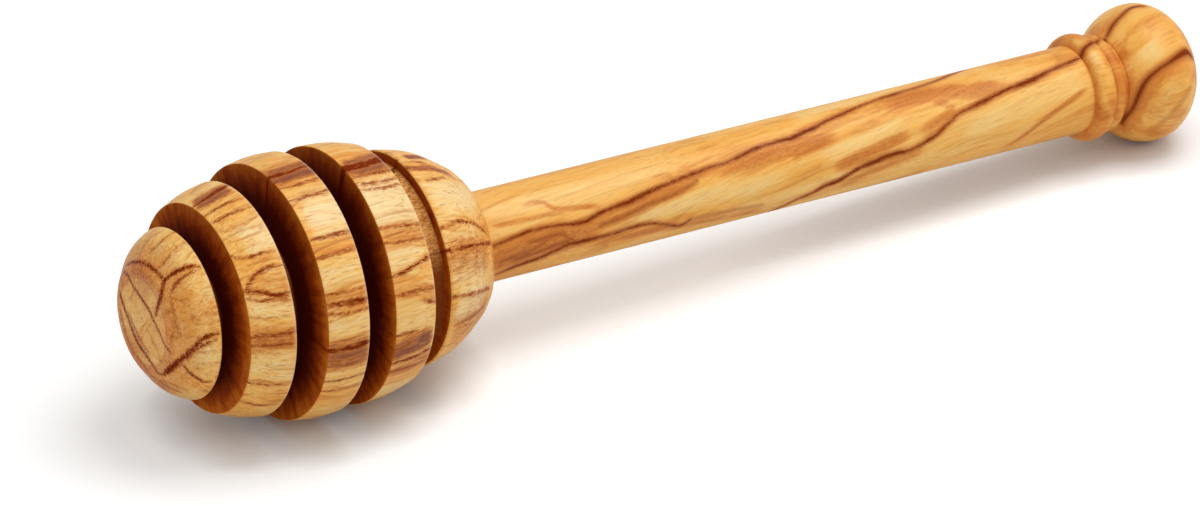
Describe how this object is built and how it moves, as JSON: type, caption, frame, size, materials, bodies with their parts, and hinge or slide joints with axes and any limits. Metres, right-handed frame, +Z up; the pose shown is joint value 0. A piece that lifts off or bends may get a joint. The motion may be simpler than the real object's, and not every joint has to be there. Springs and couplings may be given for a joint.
{
  "type": "honey dipper",
  "caption": "Turned wooden honey dipper: a grooved egg-shaped head that picks up honey, on a straight handle that ends in beads and a round knob.",
  "frame": {"origin": "on the table under the middle of the dipper's length, as it lies on its head and its end knob", "axes": "+X along the dipper from the tip of the head to the end knob, +Z up from the table, +Y to the left when looking along +X"},
  "size_m": [0.1724, 0.0362, 0.0364],
  "materials": {
    "head_wood": "oiled olive wood, satin, with dark veins and end grain in the grooves",
    "handle_wood": "oiled olive wood, satin, with dark veins along the handle",
    "knob_wood": "oiled olive wood, satin, with dark veins"
  },
  "bodies": {
    "root": {"dipper_head": "head_wood", "handle": "handle_wood", "end_knob": "knob_wood"}
  },
  "joints": []
}
